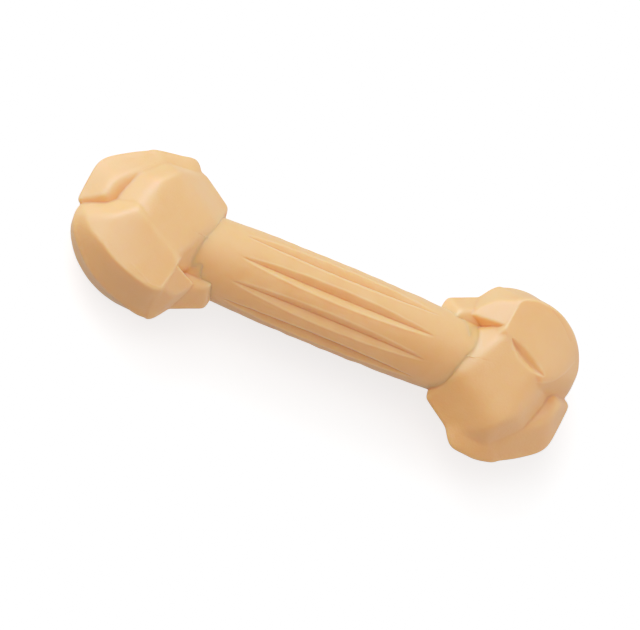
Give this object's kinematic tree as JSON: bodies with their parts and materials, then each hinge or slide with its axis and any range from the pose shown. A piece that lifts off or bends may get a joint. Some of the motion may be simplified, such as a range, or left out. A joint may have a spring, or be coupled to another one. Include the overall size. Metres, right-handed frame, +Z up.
{
  "type": "rubber chew bone",
  "caption": "Solid rubber chew bone: a fluted, slightly barrelled grip between two faceted heads, each with a recessed lobe and a flat foot to lie on.",
  "frame": {"origin": "on the surface that the bone lies on, under the middle of its bounding box", "axes": "+X along the bone from the left head to the right head, +Y across the bone in the surface's plane, +Z up out of the surface"},
  "size_m": [0.1936, 0.0636, 0.0381],
  "materials": {
    "rubber": "matte tan natural rubber"
  },
  "bodies": {
    "root": {"grip": "rubber", "left_head": "rubber", "right_head": "rubber"}
  },
  "joints": []
}
